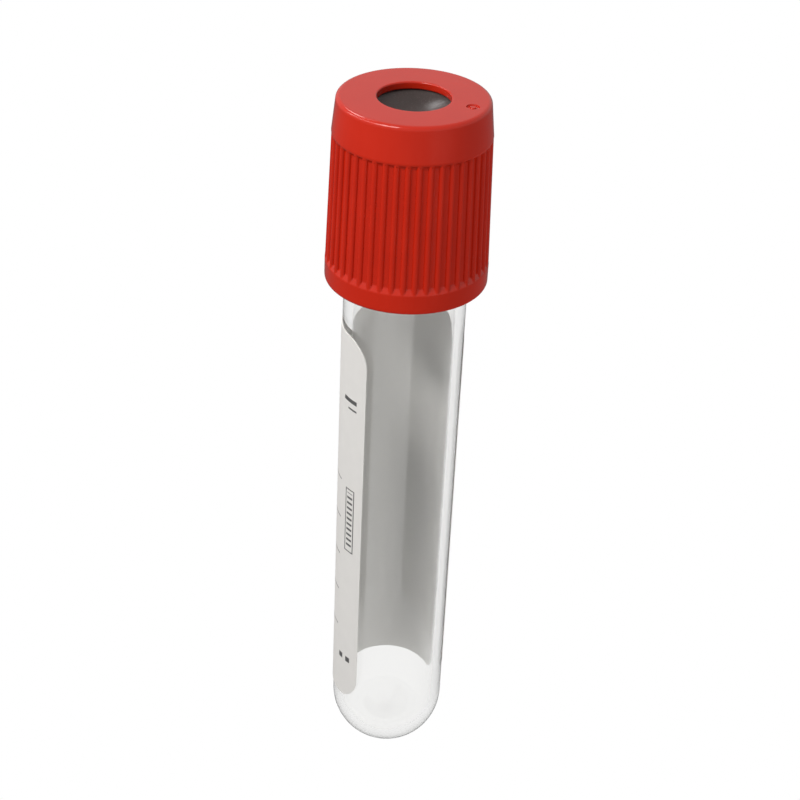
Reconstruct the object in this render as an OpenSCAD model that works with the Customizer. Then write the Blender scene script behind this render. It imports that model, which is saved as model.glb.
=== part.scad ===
// Evacuated blood collection tube with a two-piece closure: a rubber stopper held in a
// ribbed plastic shield. Millimetres.
//
// The tube can't stand on its round end, and rolls on its side, so it stands on its closure:
// its axis is Z, the flat face of the shield lies on z = 0, and z grows towards the round end.
// The label's middle faces +Y, and the clear strip between its edges faces -Y.

/* [Tube] */
// Length of the tube, from its rim to the tip of its round end
tube_len = 75; // [65:1:100]
// Outside diameter at the rim
tube_od = 13; // [12:0.1:16]
// Outside diameter lost to the mould's draft by the start of the round end
tube_draft = 0.3; // [0.1:0.05:0.6]
// Thickness of the tube's wall
tube_wall = 1.05; // [0.8:0.05:1.3]
// Radius of the rounded rim
rim_round = 0.35; // [0.2:0.05:0.39]

/* [Stopper] */
// Height of the flange, from the tube's rim to the shield's top wall
flange_h = 5.7; // [4.5:0.1:7]
// How far the flange stands out past the tube's outside
flange_lip = 0.4; // [0.3:0.05:0.6]
// Rounding of the flange's upper edge
flange_round = 0.4; // [0.2:0.05:0.6]
// Length of the plug inside the tube's mouth
plug_len = 7; // [5:0.1:9]
// Length of the plug's tapered tip
plug_lead = 1.3; // [0.6:0.1:2]
// How much narrower the tip is than the plug, on the radius
plug_taper = 0.55; // [0.3:0.05:0.8]
// Diameter of the hollow that guides the needle
dish_d = 8; // [7.5:0.1:10]
// Depth of that hollow
dish_depth = 1.4; // [0.8:0.1:2]
// Diameter of the well in the plug's inner end
well_d = 6; // [4.5:0.1:7]
// Depth of the well
well_depth = 6.4; // [4:0.1:7]
// How much narrower the well is at its domed end, on the radius
well_taper = 0.5; // [0.2:0.05:0.8]

/* [Shield] */
// Height of the shield
shield_h = 20; // [18:0.1:24]
// Thickness of the shield's top wall
top_wall = 0.8; // [0.6:0.05:1.2]
// Diameter of the needle port through the top wall
port_d = 7.4; // [6:0.1:7.5]
// Wall of the skirt between the ribs
skirt_wall = 0.85; // [0.7:0.05:1.2]
// How much wider the skirt is at its mouth than at the stopper, on the radius
skirt_flare = 0.35; // [0.1:0.05:0.6]
// Height of the plain band under the face
band_h = 3.9; // [2.5:0.1:5]
// How much the plain band narrows towards the face, on the radius
band_taper = 0.4; // [0.2:0.05:0.6]
// Rounding between the face and the plain band
face_round = 0.45; // [0.3:0.05:0.7]
// Height of the plain band at the skirt's mouth
base_h = 2.2; // [1.5:0.1:3]
// Rounding of the skirt's outer end
base_round = 0.35; // [0.2:0.05:0.5]
// Width of the bevel that leads the tube into the skirt
mouth_bevel = 0.3; // [0.2:0.05:0.4]
// Number of grip ribs
rib_count = 44; // [24:1:48]
// Width of a rib at its foot
rib_w = 0.64; // [0.5:0.02:0.8]
// Height of a rib
rib_h = 0.3; // [0.2:0.02:0.34]
// Height of the bead that holds the stopper's flange in the shield
bead_h = 0.9; // [0.6:0.1:1.2]

/* [Moulding gate] */
// Diameter of the shallow recess round the gate mark
gate_recess_d = 1.3; // [1:0.1:1.6]
// Depth of that recess
gate_recess_depth = 0.16; // [0.1:0.02:0.24]
// Diameter of the gate's stub
gate_stub_d = 0.6; // [0.4:0.1:0.8]
// Distance from the axis to the gate mark
gate_r = 6.1; // [5.4:0.1:6.4]
// Angle from the label's middle round to the gate mark
gate_turn = 140; // [0:5:355]

/* [Label] */
// Height of the paper label along the tube
label_h = 48; // [30:1:50]
// Width of the label round the tube
label_w = 26.5; // [20:0.5:34]
// Thickness of the paper
label_t = 0.1; // [0.08:0.01:0.16]
// Radius of the label's corners
label_corner = 3; // [1:0.1:4]
// Distance from the shield's mouth to the label
label_gap = 5.5; // [3:0.1:8]

/* [Clearances] */
// Radial gap between the plug and the tube's bore
plug_clear = 0.03; // [0.02:0.01:0.06]
// Radial gap between the stopper's flange and its seat in the shield
seat_clear = 0.05; // [0.03:0.01:0.1]
// Radial gap between the tube and the bead in the shield
bead_clear = 0.15; // [0.1:0.01:0.25]
// Gap between the label and the tube, filled by its glue
glue_gap = 0.01; // [0.01:0.01:0.03]

/* [Hidden] */
$fn = 96;
// Overlap that lets one shape pass clean through another
cut = 1;
// How far a rib's ends run into the plain bands
rib_root = 0.2;
// How far the bands stand proud of the ribs
band_proud = 0.03;
// Direction that the label's middle faces
label_turn = 90;

tube_r = tube_od / 2;
end_r = tube_r - tube_draft / 2;
bore_r = tube_r - tube_wall;
bore_end_r = end_r - tube_wall;

// Stations along the axis, from the shield's face
rim_z = top_wall + flange_h;
tip_z = rim_z + plug_len;
end_z = rim_z + tube_len;
ball_z = end_z - end_r;
base_z = shield_h - base_h;
label_z = shield_h + label_gap;
// The bore is straight as far as the plug reaches, and then follows the draft
seal_z = tip_z + 1;

plug_r = bore_r - plug_clear;
flange_r = tube_r + flange_lip;
seat_r = flange_r + seat_clear;
bead_r = tube_r + bead_clear;
skirt_r = seat_r + skirt_flare;
root_top_r = seat_r + skirt_wall;
root_base_r = skirt_r + skirt_wall;
band_r = root_top_r + rib_h + band_proud;
face_r = band_r - band_taper;
base_r = root_base_r + rib_h + band_proud;

// Radius of the tube's drafted outside at a station z
function tube_r_at(z) = tube_r + (end_r - tube_r) * (z - rim_z) / (ball_z - rim_z);
// Radius of the label's inner face at a station z
function label_r_at(z) = tube_r_at(z) + glue_gap;

// The waste outside a quarter round of radius r, in the corner at the origin
module corner_waste(r) {
    difference() {
        translate([-cut, -cut]) square(r + cut);
        translate([r, r]) circle(r, $fn = 48);
    }
}

// The clear moulded tube: a drafted wall, a round end and a rounded rim
module tube() {
    color([0.86, 0.87, 0.86, 0.4])
    difference() {
        union() {
            translate([0, 0, rim_z]) cylinder(h = ball_z - rim_z, r1 = tube_r, r2 = end_r);
            translate([0, 0, ball_z]) sphere(end_r);
        }
        translate([0, 0, rim_z - cut]) cylinder(h = seal_z - rim_z + cut, r = bore_r);
        translate([0, 0, seal_z]) cylinder(h = ball_z - seal_z, r1 = bore_r, r2 = bore_end_r);
        translate([0, 0, ball_z]) sphere(bore_end_r);
        rotate_extrude() {
            translate([tube_r, rim_z]) mirror([1, 0]) corner_waste(rim_round);
            translate([bore_r, rim_z]) corner_waste(rim_round);
        }
    }
}

// The waste outside one rounded corner of the wrapped label, which spans span degrees. side
// and up, each 1 or -1, choose the corner, and z is the edge of the label that it lies on
module label_corner_waste(span, z, side, up) {
    corner_angle = asin(label_corner / label_r_at(z));
    rotate([0, 0, side * (span / 2 - corner_angle)])
    translate([0, 0, z - up * label_corner])
    rotate([90, 0, 90])
    linear_extrude(tube_od)
    scale([side, up])
    difference() {
        square(label_corner + cut);
        circle(label_corner, $fn = 48);
    }
}

// The wrapped paper label, one sheet with rounded corners
module paper_label() {
    far_z = label_z + label_h;
    near_r = label_r_at(label_z);
    far_r = label_r_at(far_z);
    span = label_w / (near_r + label_t) * 180 / PI;
    color([0.93, 0.93, 0.91])
    rotate([0, 0, label_turn])
    difference() {
        rotate([0, 0, -span / 2])
        rotate_extrude(angle = span)
        polygon([
            [near_r, label_z],
            [near_r + label_t, label_z],
            [far_r + label_t, far_z],
            [far_r, far_z]
        ]);
        for (side = [-1, 1]) {
            label_corner_waste(span, label_z, side, -1);
            label_corner_waste(span, far_z, side, 1);
        }
    }
}

// The rubber stopper: a flange in the shield, a plug in the tube, a dish above and a well below
module rubber_stopper() {
    dish_r = ((dish_d / 2) ^ 2 + dish_depth ^ 2) / (2 * dish_depth);
    dome_r = well_d / 2 - well_taper;
    dome_z = tip_z - well_depth + dome_r;
    well_run = tip_z - dome_z;
    // The well's cone runs on past the tip at the same slope
    well_out_r = dome_r + well_taper * (1 + cut / well_run);
    color([0.36, 0.33, 0.33])
    difference() {
        union() {
            translate([0, 0, top_wall]) cylinder(h = flange_h, r = flange_r);
            translate([0, 0, rim_z]) cylinder(h = plug_len - plug_lead, r = plug_r);
            translate([0, 0, tip_z - plug_lead])
                cylinder(h = plug_lead, r1 = plug_r, r2 = plug_r - plug_taper);
        }
        rotate_extrude() translate([flange_r, top_wall]) mirror([1, 0]) corner_waste(flange_round);
        translate([0, 0, top_wall + dish_depth - dish_r]) sphere(dish_r);
        translate([0, 0, dome_z]) sphere(dome_r);
        translate([0, 0, dome_z]) cylinder(h = well_run + cut, r1 = dome_r, r2 = well_out_r);
    }
}

// Outline of the shield's body in section, ribs apart
module shield_section() {
    difference() {
        polygon([
            [port_d / 2, 0],
            [face_r, 0],
            [band_r, band_h],
            [root_top_r, band_h + rib_h],
            [root_base_r, base_z - rib_h],
            [base_r, base_z],
            [base_r, shield_h],
            [skirt_r + mouth_bevel, shield_h],
            [skirt_r, shield_h - mouth_bevel],
            [seat_r, rim_z + bead_h],
            [bead_r, rim_z + bead_h / 2],
            [bead_r, rim_z],
            [seat_r, rim_z],
            [seat_r, top_wall],
            [port_d / 2, top_wall]
        ]);
        translate([face_r, 0]) mirror([1, 0]) corner_waste(face_round);
        translate([base_r, shield_h]) mirror([1, 0]) mirror([0, 1]) corner_waste(base_round);
    }
}

// One grip rib: a round bar sunk along the skirt's slope, so that rib_h of it stands out
module grip_rib() {
    bar_r = (rib_w ^ 2 / 4 + rib_h ^ 2) / (2 * rib_h);
    sunk = bar_r - rib_h;
    run = base_z - band_h;
    slope = atan((root_base_r - root_top_r) / run);
    translate([root_top_r - sunk, 0, band_h])
    rotate([0, slope, 0])
    translate([0, 0, -rib_root])
    cylinder(h = run / cos(slope) + 2 * rib_root, r = bar_r, $fn = 24);
}

// The moulded shield: a top wall with the needle port, a flared skirt, and its grip ribs
module closure_shield() {
    color([0.80, 0.15, 0.11])
    difference() {
        union() {
            rotate_extrude() shield_section();
            for (i = [0 : rib_count - 1])
                rotate([0, 0, i * 360 / rib_count]) grip_rib();
        }
        rotate([0, 0, label_turn + gate_turn])
        translate([gate_r, 0, -cut])
        difference() {
            cylinder(h = cut + gate_recess_depth, d = gate_recess_d, $fn = 32);
            translate([0, 0, cut]) cylinder(h = gate_recess_depth, d = gate_stub_d, $fn = 32);
        }
    }
}

tube();
paper_label();
rubber_stopper();
closure_shield();
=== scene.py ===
# %% [markdown]
# # Dressing a blood collection tube
#
# An evacuated blood collection tube is four pieces: a clear moulded tube, a paper label
# wrapped round it, a rubber stopper that seals it, and a ribbed plastic shield over the
# stopper. A CAD model holds their sizes and their motion. Here each piece is modelled again as
# a smooth mesh with its small roundings, and gets its finish. The model stands on its closure:
# Z starts at the shield's face and runs up to the tube's round end.

import math

import bmesh
import bpy
from mathutils import Matrix, Vector


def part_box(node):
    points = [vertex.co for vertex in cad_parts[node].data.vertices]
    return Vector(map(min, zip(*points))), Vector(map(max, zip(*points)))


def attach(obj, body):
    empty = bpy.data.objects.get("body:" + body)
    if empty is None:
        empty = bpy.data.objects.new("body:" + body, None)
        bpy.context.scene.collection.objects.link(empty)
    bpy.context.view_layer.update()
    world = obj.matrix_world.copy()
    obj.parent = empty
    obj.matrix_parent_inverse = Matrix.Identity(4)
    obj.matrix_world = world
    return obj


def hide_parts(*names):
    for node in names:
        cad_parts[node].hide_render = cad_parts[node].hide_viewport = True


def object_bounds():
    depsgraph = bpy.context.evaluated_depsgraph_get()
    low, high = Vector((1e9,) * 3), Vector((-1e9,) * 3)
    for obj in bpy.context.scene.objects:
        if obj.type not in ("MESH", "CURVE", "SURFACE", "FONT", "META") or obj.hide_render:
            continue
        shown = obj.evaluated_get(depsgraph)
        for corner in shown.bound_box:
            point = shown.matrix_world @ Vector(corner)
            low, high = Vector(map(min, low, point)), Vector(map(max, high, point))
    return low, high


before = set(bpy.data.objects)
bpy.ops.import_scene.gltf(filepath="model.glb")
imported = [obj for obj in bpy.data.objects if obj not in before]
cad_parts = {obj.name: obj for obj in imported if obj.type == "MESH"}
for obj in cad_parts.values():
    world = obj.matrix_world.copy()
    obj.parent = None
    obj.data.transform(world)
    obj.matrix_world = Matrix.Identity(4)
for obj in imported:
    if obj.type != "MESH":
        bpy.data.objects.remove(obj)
cad_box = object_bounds()
print("The frame holds", ", ".join(sorted(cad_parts)))

# %% [markdown]
# ## Sizes
#
# A piece that replaces a CAD solid has to lie where that solid lies. The outer sizes are
# therefore read from the boxes of the CAD nodes, and only what a box can't tell, such as the
# thickness of a wall, is written down. Blender works in metres, so MM turns a size in
# millimetres into metres.

# %% Sizes read from the frame
MM = 0.001
centre = (cad_box[0] + cad_box[1]) / 2
shield_low, shield_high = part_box("closure_shield")
stopper_low, stopper_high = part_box("rubber_stopper")
tube_low, tube_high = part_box("tube")
label_low, label_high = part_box("paper_label")

face_z = shield_low.z
top_wall_z = stopper_low.z
rim_z = tube_low.z
plug_tip_z = stopper_high.z
mouth_z = shield_high.z
end_z = tube_high.z
tube_r = tube_high.x
print(f"The tube is {(end_z - rim_z) / MM:.1f} mm long and {2 * tube_r / MM:.1f} mm across")

# %% [markdown]
# ## Wiring nodes in plain Python
#
# Materials and Geometry Nodes are both trees of nodes. Placing each sum as a node by hand
# hides the idea behind it, so a small class wraps a socket and gives it the usual operators:
# `1 - mask` then adds a Math node by itself. Its one other method adds any node, first its
# settings and then its sockets, each of which takes a value or another wire.

# %% A socket that can be used in sums
class Wire:
    """One output of a node in a tree. Sums of wires and numbers add Math nodes to the tree."""

    def __init__(self, tree, socket=None):
        self.tree = tree
        self.socket = socket

    def node(self, kind, settings=None, sockets=None, output=0):
        """Adds a node, with its settings first and then its sockets, and gives one output."""
        made = self.tree.nodes.new(kind)
        for name, value in (settings or {}).items():
            setattr(made, name, value)
        for name, value in (sockets or {}).items():
            if isinstance(value, Wire):
                self.tree.links.new(value.socket, made.inputs[name])
            else:
                made.inputs[name].default_value = value
        return Wire(self.tree, made.outputs[output] if made.outputs else None)

    def out(self, name):
        """Another output of the same node."""
        return Wire(self.tree, self.socket.node.outputs[name])

    def math(self, operation, *values):
        """A Math node on these values."""
        return self.node("ShaderNodeMath", {"operation": operation}, dict(enumerate(values)))

    def mix(self, factor, first, second):
        """A colour that goes from the first to the second as the factor goes from 0 to 1."""
        return self.node("ShaderNodeMix", {"data_type": "RGBA"}, {0: factor, 6: first, 7: second}, 2)

    def __add__(self, other):
        return self.math("ADD", self, other)

    def __radd__(self, other):
        return self.math("ADD", other, self)

    def __sub__(self, other):
        return self.math("SUBTRACT", self, other)

    def __rsub__(self, other):
        return self.math("SUBTRACT", other, self)

    def __mul__(self, other):
        return self.math("MULTIPLY", self, other)

    def __rmul__(self, other):
        return self.math("MULTIPLY", other, self)

    def __truediv__(self, other):
        return self.math("DIVIDE", self, other)

    def __gt__(self, other):
        return self.math("GREATER_THAN", self, other)

    def __lt__(self, other):
        return self.math("LESS_THAN", self, other)


print("Wires are ready")

# %% [markdown]
# ## Camera
#
# The tube is normally seen closure up, but the model stands on its head. So the camera goes
# below the floor, turned upside down: the closure is then on top of the picture, and the clear
# strip between the label's edges faces the front, a little to the right.

# %% Camera on the closure's side
def direction(azimuth, elevation):
    """Unit vector from the tube towards a place round it: azimuth 0 is -Y and 90 is +X."""
    turn = math.radians(azimuth)
    rise = math.radians(elevation)
    level = math.cos(rise)
    return Vector((math.sin(turn) * level, -math.cos(turn) * level, math.sin(rise)))


def aim(thing, place, target, up, roll=0.0):
    """Puts a camera or lamp at a place, pointing at the target, and rolls it by some degrees."""
    back = (place - target).normalized()
    right = up.cross(back).normalized()
    turn = Matrix((right, back.cross(right), back)).transposed().to_4x4()
    lean = Matrix.Rotation(math.radians(roll), 4, "Z")
    thing.matrix_world = Matrix.Translation(place) @ turn @ lean


def add_object(name, data):
    """A new object in the scene, at the origin."""
    thing = bpy.data.objects.new(name, data)
    bpy.context.scene.collection.objects.link(thing)
    return thing


VIEW_AZIMUTH = 31
VIEW_ELEVATION = -33
VIEW_DISTANCE = 0.205
VIEW_ROLL = 2.7
TARGET_DROP = 5.6 * MM
LENS = 84
NEAREST_SEEN = 0.005

camera = add_object("camera", bpy.data.cameras.new("camera"))
camera.data.lens = LENS
camera.data.clip_start = NEAREST_SEEN
view_place = centre + direction(VIEW_AZIMUTH, VIEW_ELEVATION) * VIEW_DISTANCE
view_target = centre - Vector((0, 0, TARGET_DROP))
aim(camera, view_place, view_target, Vector((0, 0, -1)), VIEW_ROLL)
bpy.context.scene.camera = camera
print("Camera at", tuple(round(value, 3) for value in view_place))

# %% [markdown]
# ## Studio
#
# Clear plastic shows what lies behind it, so the surroundings are plain white to the camera
# and to the rays that clear plastic sends out. Reflections see a room that is light grey below
# and dark grey above, which keeps the red of the shield deep. All other rays get an even grey.
# Lamps do the rest: a key lamp and a strip on the closure's side, both long, so that they draw
# a line along the shield's round edge, a lamp behind for the glare in the rubber, two fills,
# and one lamp on the round end's side. Only the lamps that should show in the gloss do.

# %% World
def seen_directly(wire, rays):
    """1 for rays from the camera and rays that came through clear plastic, and 0 for others."""
    return wire.math("MAXIMUM", rays.out("Is Camera Ray"), rays.out("Is Transmission Ray"))


SKY_LIGHT = 0.36
ROOM_BELOW = 0.65
ROOM_ABOVE = 0.15
GREY_FROM = -0.2
GREY_TO = 0.4

bpy.context.scene.view_settings.view_transform = "Standard"
world = bpy.data.worlds.new("studio")
world.use_nodes = True
world.node_tree.nodes.clear()
bpy.context.scene.world = world

air = Wire(world.node_tree)
rays = air.node("ShaderNodeLightPath")
seen = seen_directly(air, rays)
way = air.node("ShaderNodeTexCoord").out("Generated")
rise = air.node("ShaderNodeSeparateXYZ", sockets={"Vector": way}).out("Z")
room = air.node(
    "ShaderNodeMapRange",
    {"interpolation_type": "SMOOTHSTEP"},
    {
        "Value": rise,
        "From Min": GREY_FROM,
        "From Max": GREY_TO,
        "To Min": ROOM_BELOW,
        "To Max": ROOM_ABOVE,
    },
)
even = SKY_LIGHT + (1 - SKY_LIGHT) * seen
strength = even + (room - SKY_LIGHT) * rays.out("Is Glossy Ray") * (1 - seen)
glow = air.node("ShaderNodeBackground", sockets={"Color": (1, 1, 1, 1), "Strength": strength})
air.node("ShaderNodeOutputWorld", sockets={"Surface": glow})
print("Light from all round:", SKY_LIGHT)

# %% Lamps
LAMP_DISTANCE = 0.5


def lamp(name, azimuth, elevation, size, power, gloss=False, roll=0.0):
    """A soft lamp of this width and height, in metres, that points at the tube."""
    data = bpy.data.lights.new(name, "AREA")
    data.shape = "ELLIPSE"
    data.size = size[0]
    data.size_y = size[1]
    data.energy = power
    thing = add_object(name, data)
    thing.visible_transmission = False
    thing.visible_glossy = gloss
    place = centre + direction(azimuth, elevation) * LAMP_DISTANCE
    aim(thing, place, centre, Vector((0, 0, 1)), roll)


lamp("key_lamp", VIEW_AZIMUTH + 48, -52, (0.26, 0.12), 1.50, gloss=True, roll=20)
lamp("edge_strip", VIEW_AZIMUTH + 92, -36, (0.40, 0.04), 0.50, gloss=True, roll=33)
lamp("back_lamp", VIEW_AZIMUTH + 146, -48, (0.12, 0.12), 0.35, gloss=True)
lamp("left_fill", VIEW_AZIMUTH + 62, -14, (0.36, 0.36), 0.35)
lamp("right_fill", VIEW_AZIMUTH - 40, 6, (0.30, 0.30), 0.55)
lamp("upper_lamp", VIEW_AZIMUTH - 130, 48, (0.16, 0.16), 1.30)
print("Lamps:", len(bpy.data.lights))

# %% [markdown]
# ## Floor
#
# The object rests on a plain pale floor, which carries its shadow. The floor must not hide the
# object from the camera below, nor hold back the lamps there, so it shows only to rays that
# meet its upper side and come from the camera or through clear plastic. Far from the object it
# fades into the white surroundings.

# %% Finish of the floor
FLOOR_R = 0.5
FADE_START = 0.10
SELF_LIT = 0.35


def new_finish(name):
    """An empty material, and a wire to build it with."""
    finish = bpy.data.materials.new(name)
    finish.use_nodes = True
    finish.node_tree.nodes.clear()
    return finish, Wire(finish.node_tree)


def pale_floor_finish():
    """A pale surface, mostly lit and partly white by itself, seen from above only."""
    finish, wire = new_finish("pale_floor")
    rays = wire.node("ShaderNodeLightPath")
    seen = seen_directly(wire, rays)
    upper = 1 - wire.node("ShaderNodeNewGeometry").out("Backfacing")
    place = wire.node("ShaderNodeTexCoord").out("Object")
    away = wire.node("ShaderNodeVectorMath", {"operation": "LENGTH"}, {0: place}, "Value")
    near = wire.node(
        "ShaderNodeMapRange",
        {"interpolation_type": "SMOOTHSTEP"},
        {"Value": away, "From Min": FADE_START, "From Max": FLOOR_R, "To Min": 1.0, "To Max": 0.0},
    )
    lit = wire.node("ShaderNodeBsdfDiffuse", sockets={"Color": (0.92, 0.92, 0.91, 1)})
    white = wire.node("ShaderNodeEmission", sockets={"Color": (0.98, 0.98, 0.97, 1)})
    pale = wire.node("ShaderNodeMixShader", sockets={0: SELF_LIT, 1: lit, 2: white})
    clear = wire.node("ShaderNodeBsdfTransparent")
    shown = wire.node("ShaderNodeMixShader", sockets={0: seen * upper * near, 1: clear, 2: pale})
    wire.node("ShaderNodeOutputMaterial", sockets={"Surface": shown})
    return finish


pale_floor = pale_floor_finish()
print("Made", pale_floor.name)

# %% Floor under the face
FLOOR_GAP = 0.02 * MM


def disc(name, radius, height):
    """A flat round plate facing up."""
    mesh = bpy.data.meshes.new(name)
    shape = bmesh.new()
    bmesh.ops.create_circle(shape, cap_ends=True, segments=96, radius=radius)
    bmesh.ops.translate(shape, verts=shape.verts, vec=(0, 0, height))
    shape.to_mesh(mesh)
    shape.free()
    return add_object(name, mesh)


floor = disc("floor", FLOOR_R, face_z - FLOOR_GAP)
floor.data.materials.append(pale_floor)
print("Floor normal:", tuple(floor.data.polygons[0].normal))

# %% [markdown]
# ## Turned outlines
#
# The tube, the stopper and the shield are all round, so each can be turned from the outline of
# its section, as on a lathe. A sharp corner catches no light and looks false, so a corner of
# the outline can be given a rounding. A pair of extra points just outside each rounding holds
# the flat faces flat when they are shaded smooth.

# %% Outline with rounded corners
ROUND_STEP = 0.1 * MM
HOLD_SHARE = 0.2


def rounded(before, here, after, radius):
    """Points along the round that takes the place of a corner."""
    here = Vector(here[:2])
    to_before = (Vector(before[:2]) - here).normalized()
    to_after = (Vector(after[:2]) - here).normalized()
    half = to_before.angle(to_after) / 2
    middle = here + (to_before + to_after).normalized() * radius / math.sin(half)
    start = here + to_before * radius / math.tan(half) - middle
    sweep = math.copysign(math.pi - 2 * half, start.cross(to_before * -1))
    steps = 3 + round(radius / ROUND_STEP)
    turned = [start.copy() for _ in range(steps + 1)]
    for step, spoke in enumerate(turned):
        spoke.rotate(Matrix.Rotation(sweep * step / steps, 2))
    hold = HOLD_SHARE * radius
    return [
        middle + start + to_before * hold,
        *[middle + spoke for spoke in turned],
        middle + turned[-1] + to_after * hold,
    ]


def outline(corners):
    """A closed outline from corners of (radius, height) or (radius, height, rounding)."""
    points = []
    for index, corner in enumerate(corners):
        if len(corner) == 2:
            points.append(Vector(corner))
        else:
            after = corners[(index + 1) % len(corners)]
            points += rounded(corners[index - 1], corner, after, corner[2])
    return points


def arc(middle_r, middle_z, radius, first, last, steps):
    """Points of an arc, from one angle to another in degrees."""
    turns = [math.radians(first + (last - first) * step / steps) for step in range(steps + 1)]
    return [(middle_r + radius * math.cos(a), middle_z + radius * math.sin(a)) for a in turns]


print("A right angle rounded by 0.5 mm has", len(rounded((0, 0), (1, 0), (1, 1), 0.5 * MM)), "points")

# %% Lathe
SAME_POINT = 0.0002 * MM
ON_AXIS = 0.001 * MM
SHARP_EDGE = math.radians(35)


def close_faces(name, shape):
    """Turns a bmesh into a mesh with its faces outwards, smooth but for its sharp edges."""
    bmesh.ops.remove_doubles(shape, verts=shape.verts, dist=SAME_POINT)
    bmesh.ops.recalc_face_normals(shape, faces=shape.faces)
    mesh = bpy.data.meshes.new(name)
    shape.to_mesh(mesh)
    shape.free()
    mesh.shade_smooth()
    mesh.set_sharp_from_angle(angle=SHARP_EDGE)
    return mesh


def turn_on_lathe(name, points, segments=128):
    """A closed mesh turned from a closed outline round the Z axis."""
    shape = bmesh.new()
    rings = []
    for radius, height in points:
        count = segments if radius > ON_AXIS else 1
        turns = [2 * math.pi * step / segments for step in range(count)]
        reach = radius if count > 1 else 0.0
        places = [(reach * math.cos(a), reach * math.sin(a), height) for a in turns]
        rings.append([shape.verts.new(place) for place in places])
    for index, ring in enumerate(rings):
        previous = rings[index - 1]
        if len(ring) == len(previous) == 1:
            continue
        for step in range(segments):
            corners = [
                previous[step % len(previous)],
                previous[(step + 1) % len(previous)],
                ring[(step + 1) % len(ring)],
                ring[step % len(ring)],
            ]
            shape.faces.new(list(dict.fromkeys(corners)))
    return close_faces(name, shape)


print("The lathe joins points closer than", SAME_POINT / MM, "mm")

# %% [markdown]
# ## Red plastic
#
# The shield is moulded from a soft, coloured polyethylene. It is an even, glossy red: the
# pigment is slightly clouded, and the mould leaves a very fine grain that spreads its
# highlights a little. Noise on Object coordinates makes both, at two scales.

# %% Helpers for a finish
def noise(wire, place, size, detail=2.0):
    """Soft random values from 0 to 1 whose patches are about this large."""
    settings = {"Vector": place, "Scale": 1 / size, "Detail": detail, "Roughness": 0.55}
    return wire.node("ShaderNodeTexNoise", sockets=settings)


def bump(wire, height, depth):
    """A normal that follows a height from 0 to 1, with 1 standing this far out."""
    settings = {"Height": height, "Distance": depth, "Strength": 1.0}
    return wire.node("ShaderNodeBump", sockets=settings)


def surface(wire, sockets):
    """Ends a material in one Principled shader."""
    shader = wire.node("ShaderNodeBsdfPrincipled", sockets=sockets)
    wire.node("ShaderNodeOutputMaterial", sockets={"Surface": shader})


print("A finish can have noise and bump")

# %% Red plastic of the shield
red_plastic, wire = new_finish("red_plastic")
place = wire.node("ShaderNodeTexCoord").out("Object")
clouds = noise(wire, place, 5 * MM)
grain = noise(wire, place, 0.3 * MM, 3.0)
surface(wire, {
    "Base Color": wire.mix(clouds, (0.49, 0.014, 0.003, 1), (0.57, 0.020, 0.005, 1)),
    "Roughness": 0.10 + 0.06 * grain + 0.05 * clouds,
    "Specular IOR Level": 0.4,
    "Normal": bump(wire, grain, 0.003 * MM),
})
print("Made", red_plastic.name)

# %% [markdown]
# ## Shield body, one rib wide
#
# The shield is a round cap with 44 grip ribs. Only a slice as wide as one rib is made: the
# outline of the section, repeated in columns across the slice. The columns lie close
# together where the rib will rise. Two attributes tell the next step where each point lies:
# `across` is its distance from the rib's middle, and `proud` is how far the outline there
# stands out past the foot of the ribs.

# %% Outline of the shield
RIB_COUNT = 44
RIB_W = 0.64 * MM
RIB_H = 0.30 * MM
ROOT_FILLET = 0.08 * MM
BAND_PROUD = 0.03 * MM
SKIRT_WALL = 0.85 * MM
SKIRT_FLARE = 0.35 * MM
BAND_H = 3.9 * MM
BAND_TAPER = 0.4 * MM
BASE_H = 2.2 * MM
PORT_R = 3.7 * MM
BEAD_H = 0.9 * MM
BEAD_CLEAR = 0.15 * MM
MOUTH_BEVEL = 0.3 * MM
PORT_ROUND = 0.16 * MM
FACE_ROUND = 0.45 * MM
BASE_ROUND = 0.35 * MM
SHOULDER_ROUND = 0.45 * MM

base_r = shield_high.x
root_base_r = base_r - RIB_H - BAND_PROUD
skirt_r = root_base_r - SKIRT_WALL
seat_r = skirt_r - SKIRT_FLARE
root_top_r = seat_r + SKIRT_WALL
band_r = root_top_r + RIB_H + BAND_PROUD
face_r = band_r - BAND_TAPER
bead_r = tube_r + BEAD_CLEAR
band_z = face_z + BAND_H
root_top_z = band_z + RIB_H
base_z = mouth_z - BASE_H
root_base_z = base_z - 2 * RIB_H
bead_z = rim_z + BEAD_H

shield_outline = outline([
    (PORT_R, face_z, PORT_ROUND),
    (face_r, face_z, FACE_ROUND),
    (band_r, band_z, SHOULDER_ROUND),
    (root_top_r, root_top_z, SHOULDER_ROUND),
    (root_base_r, root_base_z, SHOULDER_ROUND),
    (base_r, base_z, SHOULDER_ROUND),
    (base_r, mouth_z, BASE_ROUND),
    (skirt_r + MOUTH_BEVEL, mouth_z),
    (skirt_r, mouth_z - MOUTH_BEVEL),
    (seat_r, bead_z),
    (bead_r, bead_z - BEAD_H / 2),
    (bead_r, rim_z),
    (seat_r, rim_z),
    (seat_r, top_wall_z),
    (PORT_R, top_wall_z, PORT_ROUND),
])
print("The shield's outline has", len(shield_outline), "points")

# %% One slice of the shield
CLEAR_OF_RIBS = 1 * MM
SLACK = 0.01 * MM


def rib_columns():
    """Distances from the rib's middle to the columns on one side of it."""
    bar_r = (RIB_W**2 / 4 + RIB_H**2) / (2 * RIB_H)
    steepest = math.asin(RIB_W / 2 / bar_r)
    on_rib = [bar_r * math.sin(steepest * step / 6) for step in range(7)]
    between = half_pitch - RIB_W / 2
    return on_rib + [RIB_W / 2 + between * (step / 3) ** 2 for step in (1, 2, 3)]


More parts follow.
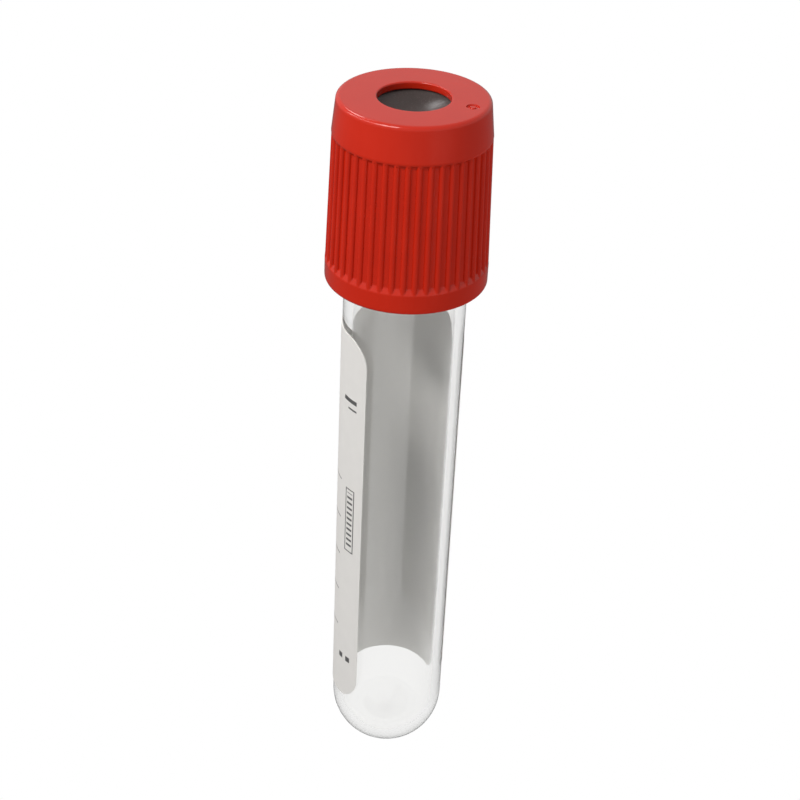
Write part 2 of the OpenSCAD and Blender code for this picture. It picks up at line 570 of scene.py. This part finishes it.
def stands_out(radius, height):
    """How far a point of the outline stands out past the foot of the ribs."""
    if not band_z - RIB_H < height < base_z + RIB_H or radius < root_top_r - SLACK:
        return CLEAR_OF_RIBS
    share = (height - root_top_z) / (root_base_z - root_top_z)
    return radius - (root_top_r + (root_base_r - root_top_r) * share)


half_pitch = math.pi * (root_top_r + root_base_r) / 2 / RIB_COUNT
one_side = rib_columns()
columns = [-distance for distance in reversed(one_side[1:])] + one_side

slice_mesh = bpy.data.meshes.new("shield_slice")
shape = bmesh.new()
grid = []
for distance in columns:
    angle = distance / half_pitch * math.pi / RIB_COUNT
    ahead = Vector((math.cos(angle), math.sin(angle), 0))
    lifts = [(ahead * radius, Vector((0, 0, height))) for radius, height in shield_outline]
    grid.append([shape.verts.new(level + lift) for level, lift in lifts])
for left, right in zip(grid, grid[1:]):
    for index in range(len(shield_outline)):
        shape.faces.new((left[index - 1], left[index], right[index], right[index - 1]))
shape.to_mesh(slice_mesh)
shape.free()
across = slice_mesh.attributes.new("across", "FLOAT", "POINT")
across.data.foreach_set("value", [distance for distance in columns for _ in shield_outline])
proud = slice_mesh.attributes.new("proud", "FLOAT", "POINT")
proud.data.foreach_set("value", [stands_out(*point) for point in shield_outline] * len(columns))
print("One slice has", len(slice_mesh.polygons), "faces")

# %% [markdown]
# ## Grip ribs with Geometry Nodes
#
# Each rib is a round bar sunk into the skirt, so that only part of it stands out. The tree
# below lifts the slice's points outwards to the height of that bar, with a small fillet at its
# foot, and repeats the slice all round. Where the plain bands stand out further than the rib,
# the rib ends in them by itself. The number, width and height of the ribs are inputs, so the
# grip can be changed without touching the mesh.

# %% Tree that raises the ribs
SLICE_SEAM = 0.001 * MM


def rib_tree():
    """A tree that raises a rib on a slice and repeats the slice round the Z axis."""
    tree = bpy.data.node_groups.new("grip_ribs", "GeometryNodeTree")
    inputs = {
        "Slice": "NodeSocketGeometry",
        "Rib Count": "NodeSocketInt",
        "Rib Width": "NodeSocketFloat",
        "Rib Height": "NodeSocketFloat",
        "Root Fillet": "NodeSocketFloat",
        "Finish": "NodeSocketMaterial",
    }
    for name, kind in inputs.items():
        tree.interface.new_socket(name, in_out="INPUT", socket_type=kind)
    tree.interface.new_socket("Ribbed", in_out="OUTPUT", socket_type="NodeSocketGeometry")

    wire = Wire(tree)
    given = wire.node("NodeGroupInput")
    width = given.out("Rib Width")
    height = given.out("Rib Height")
    across = wire.node("GeometryNodeInputNamedAttribute", {"data_type": "FLOAT"}, {"Name": "across"})
    proud = wire.node("GeometryNodeInputNamedAttribute", {"data_type": "FLOAT"}, {"Name": "proud"})

    bar_r = (width * width / 4 + height * height) / (2 * height)
    inside = wire.math("MAXIMUM", bar_r * bar_r - across * across, 0.0)
    rise = wire.math("SQRT", inside) - (bar_r - height) - proud
    lift = wire.math("SMOOTH_MAX", rise, 0.0, given.out("Root Fillet"))

    level = wire.node(
        "ShaderNodeVectorMath",
        {"operation": "MULTIPLY"},
        {0: wire.node("GeometryNodeInputPosition"), 1: (1, 1, 0)},
    )
    outwards = wire.node("ShaderNodeVectorMath", {"operation": "NORMALIZE"}, {0: level})
    offset = wire.node("ShaderNodeVectorMath", {"operation": "SCALE"}, {0: outwards, "Scale": lift})
    raised = wire.node("GeometryNodeSetPosition", sockets={"Geometry": given, "Offset": offset})

    count = given.out("Rib Count")
    turn = wire.node("GeometryNodeInputIndex") * (2 * math.pi) / count
    places = wire.node("GeometryNodeMeshLine", sockets={"Count": count, "Offset": (0, 0, 0)})
    turned = wire.node(
        "GeometryNodeInstanceOnPoints",
        sockets={
            "Points": places,
            "Instance": raised,
            "Rotation": wire.node("ShaderNodeCombineXYZ", sockets={"Z": turn}),
        },
    )
    joined = wire.node("GeometryNodeRealizeInstances", sockets={"Geometry": turned})
    merged = wire.node(
        "GeometryNodeMergeByDistance", sockets={"Geometry": joined, "Distance": SLICE_SEAM}
    )
    dressed = wire.node(
        "GeometryNodeSetMaterial", sockets={"Geometry": merged, "Material": given.out("Finish")}
    )
    wire.node("NodeGroupOutput", sockets={"Ribbed": dressed})
    return tree


ribs = rib_tree()
print("The tree of the ribs has", len(ribs.nodes), "nodes")

# %% Ribs on the slice
def bake(thing):
    """Replaces an object's mesh by the result of its modifiers, and removes them."""
    depsgraph = bpy.context.evaluated_depsgraph_get()
    mesh = bpy.data.meshes.new_from_object(thing.evaluated_get(depsgraph), depsgraph=depsgraph)
    thing.modifiers.clear()
    thing.data = mesh


shield = add_object("ribbed_shield", slice_mesh)
growth = shield.modifiers.new("grip_ribs", "NODES")
growth.node_group = ribs
rib_inputs = {
    "Rib Count": RIB_COUNT,
    "Rib Width": RIB_W,
    "Rib Height": RIB_H,
    "Root Fillet": ROOT_FILLET,
    "Finish": red_plastic,
}
for socket in ribs.interface.items_tree:
    if socket.name in rib_inputs:
        growth[socket.identifier] = rib_inputs[socket.name]
bake(shield)
print("The ribbed shield has", len(shield.data.polygons), "faces")

# %% [markdown]
# ## Gate mark
#
# Plastic entered the mould through a small gate in the shield's face. It leaves a shallow
# round recess with the broken stub of the gate in its middle. The recess lies off the axis, so
# it is turned as a small cutter and taken away from the shield with a Boolean modifier.

# %% Gate mark in the shield's face
GATE_R = 6.1 * MM
GATE_TURN = math.radians(230)
RECESS_R = 0.65 * MM
RECESS_DEPTH = 0.16 * MM
STUB_R = 0.3 * MM
STUB_DROP = 0.03 * MM
GATE_ROUND = 0.04 * MM
RIBBED_SHARP_EDGE = math.radians(40)

recess = outline([
    (0, face_z - RECESS_R),
    (1.6 * RECESS_R, face_z - RECESS_R),
    (RECESS_R, face_z + 0.05 * MM, GATE_ROUND),
    (0.95 * RECESS_R, face_z + RECESS_DEPTH, GATE_ROUND),
    (1.05 * STUB_R, face_z + RECESS_DEPTH, 0.03 * MM),
    (0.85 * STUB_R, face_z + STUB_DROP, GATE_ROUND),
    (0, face_z + STUB_DROP),
])
cutter = add_object("gate_cutter", turn_on_lathe("gate_cutter", recess, 40))
cutter.data.materials.append(red_plastic)
gate_place = Vector((GATE_R * math.cos(GATE_TURN), GATE_R * math.sin(GATE_TURN), 0))
cutter.data.transform(Matrix.Translation(gate_place))
cut = shield.modifiers.new("gate_mark", "BOOLEAN")
cut.operation = "DIFFERENCE"
cut.solver = "EXACT"
cut.object = cutter
bake(shield)
bpy.data.objects.remove(cutter)
shield.data.shade_smooth()
shield.data.set_sharp_from_angle(angle=RIBBED_SHARP_EDGE)
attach(shield, "closure")
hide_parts("closure_shield")
print("With its gate mark the shield has", len(shield.data.polygons), "faces")

# %% [markdown]
# ## Rubber stopper
#
# The stopper is moulded rubber: a flange that fills the shield, a plug that seals the tube, a
# shallow dish that guides the needle and a well behind it, where the rubber is thin enough to
# pierce. It is turned in one piece. The rubber is a dark grey brown with a soft sheen, fine
# specks and a faint, cloudy bloom.

# %% Shape of the stopper
DISH_R = 4.0 * MM
DISH_DEPTH = 1.4 * MM
WELL_R = 3.0 * MM
WELL_DEPTH = 6.4 * MM
DOME_R = 2.5 * MM
PLUG_LEAD = 1.3 * MM
PLUG_TAPER = 0.55 * MM
TUBE_WALL = 1.05 * MM
PLUG_CLEAR = 0.03 * MM

flange_r = stopper_high.x
bore_r = tube_r - TUBE_WALL
plug_r = bore_r - PLUG_CLEAR
dome_z = plug_tip_z - WELL_DEPTH + DOME_R
dish_ball = (DISH_R**2 + DISH_DEPTH**2) / (2 * DISH_DEPTH)
dish_edge = math.degrees(math.asin(DISH_R / dish_ball))

stopper_outline = outline([
    *arc(0, top_wall_z + DISH_DEPTH - dish_ball, dish_ball, 90, 90 - dish_edge, 16),
    (flange_r, top_wall_z, 0.4 * MM),
    (flange_r, rim_z, 0.15 * MM),
    (plug_r, rim_z),
    (plug_r, plug_tip_z - PLUG_LEAD, 0.3 * MM),
    (plug_r - PLUG_TAPER, plug_tip_z, 0.25 * MM),
    (WELL_R, plug_tip_z, 0.15 * MM),
    *arc(0, dome_z, DOME_R, 0, -90, 12),
])
stopper = add_object("rubber_plug", turn_on_lathe("rubber_plug", stopper_outline))
print("The stopper has", len(stopper.data.polygons), "faces")

# %% Rubber of the stopper
SPECK_LIMIT = 0.72
SPECK_SHARE = 0.3

rubber, wire = new_finish("stopper_rubber")
place = wire.node("ShaderNodeTexCoord").out("Object")
bloom = noise(wire, place, 2.2 * MM, 3.0)
grain = noise(wire, place, 0.22 * MM, 4.0)
specks = noise(wire, place, 0.12 * MM, 0.0) > SPECK_LIMIT
tone = wire.mix(bloom, (0.034, 0.025, 0.023, 1), (0.058, 0.043, 0.039, 1))
surface(wire, {
    "Base Color": wire.mix(SPECK_SHARE * specks, tone, (0.13, 0.11, 0.10, 1)),
    "Roughness": 0.25 + 0.14 * grain,
    "Specular IOR Level": 0.4,
    "Normal": bump(wire, grain, 0.012 * MM),
})
stopper.data.materials.append(rubber)
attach(stopper, "closure")
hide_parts("rubber_stopper")
print("Made", rubber.name)

# %% [markdown]
# ## Clear tube
#
# The tube is injection moulded from clear polyester. Its wall is thick, so it bends light like
# glass: it is modelled with both its faces, its rounded rim and its round end, and shaded as a
# clear solid. Lamps can't shine through such a shader in a short render, so for shadow rays
# alone it turns transparent. The polish of the mould's core leaves faint streaks along it.

# %% Shape of the tube
TUBE_DRAFT = 0.15 * MM
RIM_ROUND = 0.34 * MM
SEAL_ROOM = 1 * MM

end_r = tube_r - TUBE_DRAFT
bore_end_r = end_r - TUBE_WALL
ball_z = end_z - end_r
seal_z = plug_tip_z + SEAL_ROOM

tube_outline = outline([
    *arc(0, ball_z, end_r, 90, 0, 28),
    (tube_r, rim_z, RIM_ROUND),
    (bore_r, rim_z, RIM_ROUND),
    (bore_r, seal_z),
    *arc(0, ball_z, bore_end_r, 0, 90, 28),
])
tube = add_object("clear_tube", turn_on_lathe("clear_tube", tube_outline))
print("The tube has", len(tube.data.polygons), "faces")

# %% Clear plastic of the tube
STREAK_STRETCH = 0.04

clear_plastic, wire = new_finish("clear_plastic")
place = wire.node("ShaderNodeTexCoord").out("Object")
drawn_out = wire.node("ShaderNodeMapping", sockets={"Vector": place, "Scale": (1, 1, STREAK_STRETCH)})
streaks = noise(wire, drawn_out, 0.9 * MM, 3.0)
shader = wire.node("ShaderNodeBsdfPrincipled", sockets={
    "Base Color": (0.99, 0.99, 0.985, 1),
    "Roughness": 0.0,
    "IOR": 1.57,
    "Transmission Weight": 1.0,
    "Normal": bump(wire, streaks, 0.004 * MM),
})
lamps_through = wire.node("ShaderNodeBsdfTransparent", sockets={"Color": (0.97, 0.97, 0.97, 1)})
is_shadow = wire.node("ShaderNodeLightPath").out("Is Shadow Ray")
either = wire.node("ShaderNodeMixShader", sockets={0: is_shadow, 1: shader, 2: lamps_through})
depth_tint = wire.node(
    "ShaderNodeVolumeAbsorption", sockets={"Color": (0.50, 0.49, 0.47, 1), "Density": 40.0}
)
wire.node("ShaderNodeOutputMaterial", sockets={"Surface": either, "Volume": depth_tint})
tube.data.materials.append(clear_plastic)
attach(tube, "tube")
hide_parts("tube")
print("Made", clear_plastic.name)

# %% [markdown]
# ## Wrapped label
#
# The label is a sheet of white paper with rounded corners, glued round the tube. It covers
# about two thirds of the way round, and leaves a clear strip to look through. It is built as a
# thin closed sheet: rows along the tube, each as wide as the rounded corners leave it, bent
# round the drafted wall. Its UV map is its own flat drawing in millimetres, so that the print
# can be laid out as on the flat label.

# %% Sizes and rows of the label
LABEL_W = 26.5 * MM
LABEL_T = 0.10 * MM
LABEL_CORNER = 3.0 * MM
GLUE_GAP = 0.01 * MM
LABEL_COLUMNS = 84
CORNER_STEPS = 10


def wall_r(height):
    """Radius of the tube's drafted outside at a height."""
    return tube_r - TUBE_DRAFT * (height - rim_z) / (ball_z - rim_z)


def label_rows():
    """Rows of the label from one end: its distance from the end, and how far it is cut back."""
    turns = [math.radians(90 * step / CORNER_STEPS) for step in range(CORNER_STEPS + 1)]
    return [(LABEL_CORNER * (1 - math.cos(a)), LABEL_CORNER * (1 - math.sin(a))) for a in turns]


label_h = label_high.z - label_low.z
label_r = wall_r(label_low.z) + GLUE_GAP + LABEL_T
rows = label_rows() + [(label_h - along, back) for along, back in reversed(label_rows())]
print("The label has", len(rows), "rows of points")

# %% Label sheet
sheet = bmesh.new()
drawing = sheet.loops.layers.uv.new("flat_label")
flat_place = {}


def sheet_point(across, along, lift):
    """A point of the label, which remembers its place on the flat sheet."""
    height = label_low.z + along
    radius = wall_r(height) + GLUE_GAP + lift
    angle = math.pi / 2 + across / label_r
    point = sheet.verts.new((radius * math.cos(angle), radius * math.sin(angle), height))
    flat_place[point] = (across / MM, along / MM)
    return point


def sheet_side(lift):
    """One side of the sheet, as rows of points."""
    side = []
    for along, back in rows:
        reach = LABEL_W / 2 - back
        steps = [2 * step / LABEL_COLUMNS - 1 for step in range(LABEL_COLUMNS + 1)]
        side.append([sheet_point(reach * share, along, lift) for share in steps])
    return side


def edge_of(side):
    """The points round the edge of one side, in order."""
    left = [row[0] for row in side[1:-1]]
    right = [row[-1] for row in side[1:-1]]
    return side[0] + right + side[-1][::-1] + left[::-1]


printed = sheet_side(LABEL_T)
glued = sheet_side(0)
for side in (printed, glued):
    for low_row, high_row in zip(side, side[1:]):
        for column in range(LABEL_COLUMNS):
            face = sheet.faces.new(
                (low_row[column], low_row[column + 1], high_row[column + 1], high_row[column])
            )
            face.material_index = 0 if side is printed else 1
outer_edge = edge_of(printed)
inner_edge = edge_of(glued)
for index in range(len(outer_edge)):
    rim = (outer_edge[index - 1], outer_edge[index], inner_edge[index], inner_edge[index - 1])
    sheet.faces.new(rim).material_index = 1
for face in sheet.faces:
    for loop in face.loops:
        loop[drawing].uv = flat_place[loop.vert]
label = add_object("wrapped_label", close_faces("wrapped_label", sheet))
print("The label covers", round(math.degrees(LABEL_W / label_r)), "degrees of the tube")

# %% [markdown]
# ## Paper and print
#
# Label paper is an off-white sheet with a slight fibre texture. Its bare side, which shows
# through the clear tube, is painted lighter than its printed side: painted light that makes up
# for the dim light inside the tube. The print is plain: a heading rule, a fine rule, a row of
# empty boxes, write-on rules, and a tick scale and two register squares near the edge. Each is
# a mask made from the flat drawing's two coordinates: 1 inside the mark and 0 outside. A mask
# is worked out afresh at every place, so the marks stay crisp however near the label is seen.

# %% Marks on the flat label
def band(value, low, high):
    """1 where a value lies between two limits."""
    return (value > low) * (value < high)


def bar(u, v, middle, size):
    """1 inside an upright rectangle of the flat label, in millimetres."""
    return band(u, middle[0] - size[0] / 2, middle[0] + size[0] / 2) * band(
        v, middle[1] - size[1] / 2, middle[1] + size[1] / 2
    )


def frame_box(u, v, middle, size, line):
    """1 on the outline of a rectangle."""
    inner = (size[0] - 2 * line, size[1] - 2 * line)
    return bar(u, v, middle, size) - bar(u, v, middle, inner)


print("Marks: bars and frames, in millimetres of the flat label")

# %% Layout of the print
BOX_PITCH = 3.2
BOX_ROW = (-6.4, 6.4)
RULE_PITCH = 5.0
RULE_AREA = (18.0, 39.0)
RULE_SHADE = 0.7
TICK_PITCH = 0.7
TICK_AREA = (19.3, 26.7)
EDGE = -LABEL_W / MM / 2


def heading(u, v):
    """A short thick rule and a long fine one, near the closure."""
    return bar(u, v, (-3.0, 5.0), (7.0, 0.9)) + bar(u, v, (0.0, 7.6), (13.0, 0.35))


def box_row(wire, u, v):
    """A row of empty boxes."""
    box_u = wire.math("FLOORED_MODULO", u - BOX_ROW[0], BOX_PITCH)
    return frame_box(box_u, v, (BOX_PITCH / 2, 11.4), (2.4, 2.4), 0.22) * band(u, *BOX_ROW)


def write_on_rules(wire, u, v):
    """Fine rules to write on, a little lighter than the rest."""
    rule_v = wire.math("FLOORED_MODULO", v - RULE_AREA[0], RULE_PITCH)
    return RULE_SHADE * bar(u, rule_v, (0.0, 0.5), (19.0, 0.18)) * band(v, *RULE_AREA)


def tick_scale(wire, u, v):
    """A framed scale of ticks near the edge."""
    tick_v = wire.math("FLOORED_MODULO", v, TICK_PITCH)
    ticks = bar(u, tick_v, (EDGE + 1.9, TICK_PITCH / 2), (0.9, 0.28)) * band(v, *TICK_AREA)
    return frame_box(u, v, (EDGE + 1.9, 23.0), (1.5, 8.4), 0.14) + ticks


def edge_marks(u, v):
    """Two short rules and two register squares near the edge."""
    rules = bar(u, v, (EDGE + 2.3, 7.6), (2.2, 0.5)) + bar(u, v, (EDGE + 1.9, 8.6), (1.4, 0.22))
    squares = [bar(u, v, (EDGE + off, 42.4), (0.7, 0.7)) for off in (1.5, 2.8)]
    return rules + squares[0] + squares[1]


def print_marks(wire, u, v):
    """The whole print of the label: how much ink lies at each place."""
    ink = heading(u, v) + box_row(wire, u, v) + write_on_rules(wire, u, v)
    return wire.math("MINIMUM", ink + tick_scale(wire, u, v) + edge_marks(u, v), 1.0)


print("Write-on rules:", math.floor((RULE_AREA[1] - RULE_AREA[0]) / RULE_PITCH) + 1)

# %% Paper with its print
# The bare side's tones are painted lighter than the printed side's, as painted light for the dim
# inside of the tube.
PRINTED_SIDE_TONES = ((0.71, 0.69, 0.665, 1), (0.76, 0.74, 0.71, 1))
BARE_SIDE_PAINTED_LIGHT_TONES = ((0.86, 0.845, 0.815, 1), (0.90, 0.885, 0.855, 1))
INK = (0.025, 0.025, 0.028, 1)


def paper_finish(name, tones, with_print):
    """Label paper between two tones, with or without its print."""
    finish, wire = new_finish(name)
    place = wire.node("ShaderNodeTexCoord").out("Object")
    cloud = noise(wire, place, 1.4 * MM, 3.0)
    fibres = noise(wire, place, 0.12 * MM, 4.0)
    paper = wire.mix(cloud, *tones)
    rough = 0.55 + 0.12 * fibres
    if with_print:
        flat = wire.node("ShaderNodeUVMap", {"uv_map": "flat_label"})
        apart = wire.node("ShaderNodeSeparateXYZ", sockets={"Vector": flat})
        ink = print_marks(wire, apart.out("X"), apart.out("Y"))
        paper = wire.mix(ink * (0.84 + 0.1 * fibres), paper, INK)
        rough = rough - 0.12 * ink
    surface(wire, {
        "Base Color": paper,
        "Roughness": rough,
        "Specular IOR Level": 0.4,
        "Normal": bump(wire, fibres, 0.008 * MM),
    })
    return finish


label.data.materials.append(paper_finish("printed_paper", PRINTED_SIDE_TONES, True))
# The bare side gets the lighter tones: painted light for the dim inside of the tube.
label.data.materials.append(paper_finish("bare_paper_with_painted_light", BARE_SIDE_PAINTED_LIGHT_TONES, False))
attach(label, "tube")
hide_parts("paper_label")
print("The label has", len(label.data.materials), "finishes")
